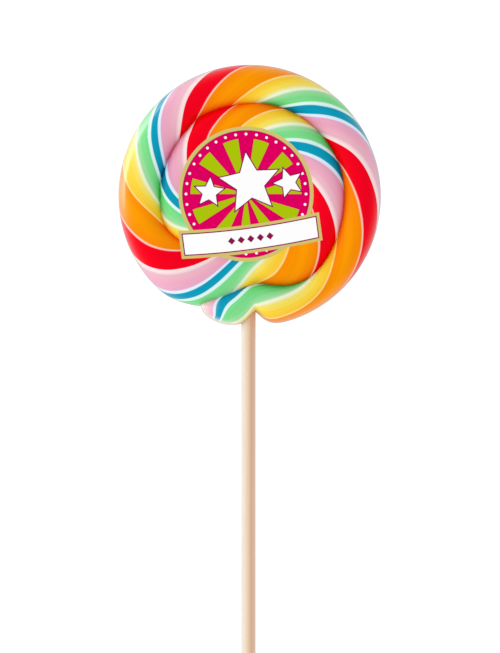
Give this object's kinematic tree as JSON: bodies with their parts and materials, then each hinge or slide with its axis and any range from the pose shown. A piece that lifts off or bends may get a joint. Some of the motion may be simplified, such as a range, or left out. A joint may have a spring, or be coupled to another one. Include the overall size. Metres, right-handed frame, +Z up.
{
  "type": "swirl lollipop",
  "caption": "Flat round lollipop: a twisted rope of striped boiled sugar coiled on a thin wooden stick, with a round paper label with a banner on its face.",
  "frame": {"origin": "middle of the coil, on its flat back", "axes": "the lollipop lies on its back: +Z up through the labelled face, -Y along the stick from the coil to the stick's free end, +X to the right seen from above with the stick pointing down"},
  "size_m": [0.0818, 0.2206, 0.0133],
  "materials": {
    "candy": "satin boiled sugar in red, orange, yellow, green, blue and pink stripes parted by white lines",
    "stick": "bare pale birch dowel, sanded",
    "label": "printed paper, semi-matt, magenta and lime with a bare white banner"
  },
  "bodies": {
    "root": {"candy": "candy", "stick": "stick", "label": "label"}
  },
  "joints": []
}
